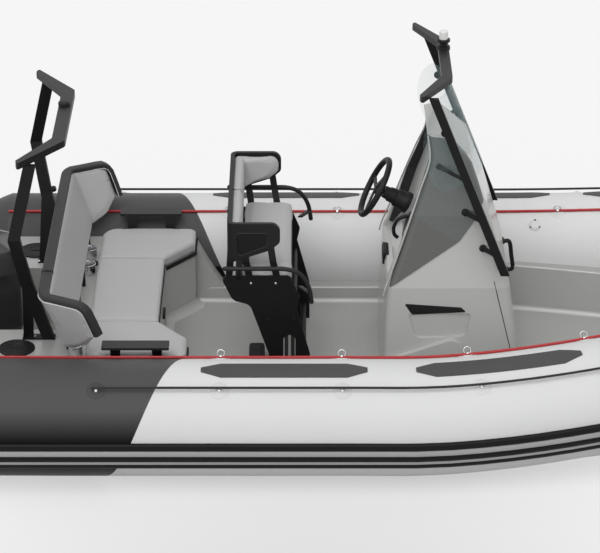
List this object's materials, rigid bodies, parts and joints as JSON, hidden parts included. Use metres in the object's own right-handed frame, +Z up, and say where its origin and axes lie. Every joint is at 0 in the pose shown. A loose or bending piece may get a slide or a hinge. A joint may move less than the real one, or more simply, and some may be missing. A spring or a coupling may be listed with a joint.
{
  "type": "rigid inflatable boat",
  "caption": "Rigid inflatable boat with a V hull, buoyancy tube, console, double helm seat, aft bench, roll bar and a steering outboard engine.",
  "frame": {"origin": "middle of the boat at the aft face of the transom, at the waterline", "axes": "+X forward to the bow, +Y to port, +Z up from the water"},
  "size_m": [5.4859, 2.582, 2.604],
  "materials": {
    "tube_fabric": "matte",
    "tube_fabric_dark": "matte",
    "strake_rubber": "satin",
    "piping_red": "satin",
    "rope": "matte",
    "fitting_grey": "satin",
    "moulding_grey": "satin",
    "moulding_light": "gloss",
    "moulding_dark": "gloss",
    "hull_white": "gloss",
    "black_metal": "satin",
    "stainless": "polished",
    "black_plastic": "satin",
    "cushion_light": "matte",
    "clear_screen": "clear",
    "lamp_white": "gloss",
    "engine_paint": "gloss",
    "cast_aluminium": "painted",
    "propeller_metal": "painted"
  },
  "bodies": {
    "boat": {"buoyancy_tube": "tube_fabric", "stern_cones": "tube_fabric_dark", "rubbing_strake": "strake_rubber", "red_piping": "piping_red", "lifeline": "rope", "wear_patches": "tube_fabric_dark", "tube_rings": "fitting_grey", "tube_valves": "fitting_grey", "hull": "hull_white", "bow_deck": "moulding_grey", "deck_liner": "moulding_grey", "stern_moulding": "moulding_grey", "deck_caps": "black_plastic", "bench_cushions_side": "cushion_light", "bench_backrest": "cushion_light", "backrest_brackets": "black_metal", "bench_grab_rails": "black_metal", "roll_bar_legs": "black_metal", "roll_bar_crossbar": "black_metal", "helm_side_plates": "black_metal", "helm_seat_frame": "black_metal", "helm_footrest": "black_plastic", "helm_seat_cushion": "cushion_light", "helm_backrest": "black_plastic", "helm_backrest_pads": "cushion_light", "helm_arm_rails": "black_metal", "console_body": "moulding_light", "console_side_panels": "moulding_dark", "throttle_control": "black_plastic", "windscreen_frame": "black_metal", "windscreen_crossbar": "black_metal", "windscreen": "clear_screen", "light_holder": "black_plastic", "navigation_light": "lamp_white", "steering_boss": "black_plastic", "engine_clamp": "cast_aluminium", "transom_eyes": "stainless", "bow_eye": "stainless"},
    "bench_lid": {"bench_lid": "black_plastic", "bench_cushion_centre": "cushion_light"},
    "bow_lid": {"bow_locker_lid": "moulding_light"},
    "wheel": {"steering_wheel": "black_plastic"},
    "engine_bracket": {"engine_swivel": "cast_aluminium"},
    "engine": {"engine_leg": "cast_aluminium", "engine_cowl": "engine_paint", "engine_powerhead": "cast_aluminium"},
    "propeller": {"propeller": "propeller_metal"}
  },
  "joints": [
    {"name": "bench_lid_hinge", "type": "hinge", "parent": "boat", "child": "bench_lid", "pos_m": [0.452, 0, 0.455], "axis": [0, -1, 0], "range_deg": [0, 75]},
    {"name": "bow_lid_hinge", "type": "hinge", "parent": "boat", "child": "bow_lid", "pos_m": [3.885, 0, 0.44], "axis": [0, 1, 0], "range_deg": [0, 90]},
    {"name": "engine_tilt", "type": "hinge", "parent": "boat", "child": "engine_bracket", "pos_m": [-0.05, 0, 0.19], "axis": [0, 1, 0], "range_deg": [-3, 20]},
    {"name": "engine_steer", "type": "hinge", "parent": "engine_bracket", "child": "engine", "pos_m": [-0.15, 0, 0], "axis": [0, 0, 1], "range_deg": [-32, 32]},
    {"name": "propeller_spin", "type": "hinge", "parent": "engine", "child": "propeller", "pos_m": [-0.43, 0, -0.565], "axis": [1, 0, 0], "continuous": true},
    {"name": "wheel_turn", "type": "hinge", "parent": "boat", "child": "wheel", "pos_m": [1.875, 0, 1.072], "axis": [0.8854, 0, -0.4648], "range_deg": [-720, 720]}
  ],
  "couplings": [
    {"joint": "wheel_turn", "follows": "engine_steer", "ratio": 22.5}
  ]
}
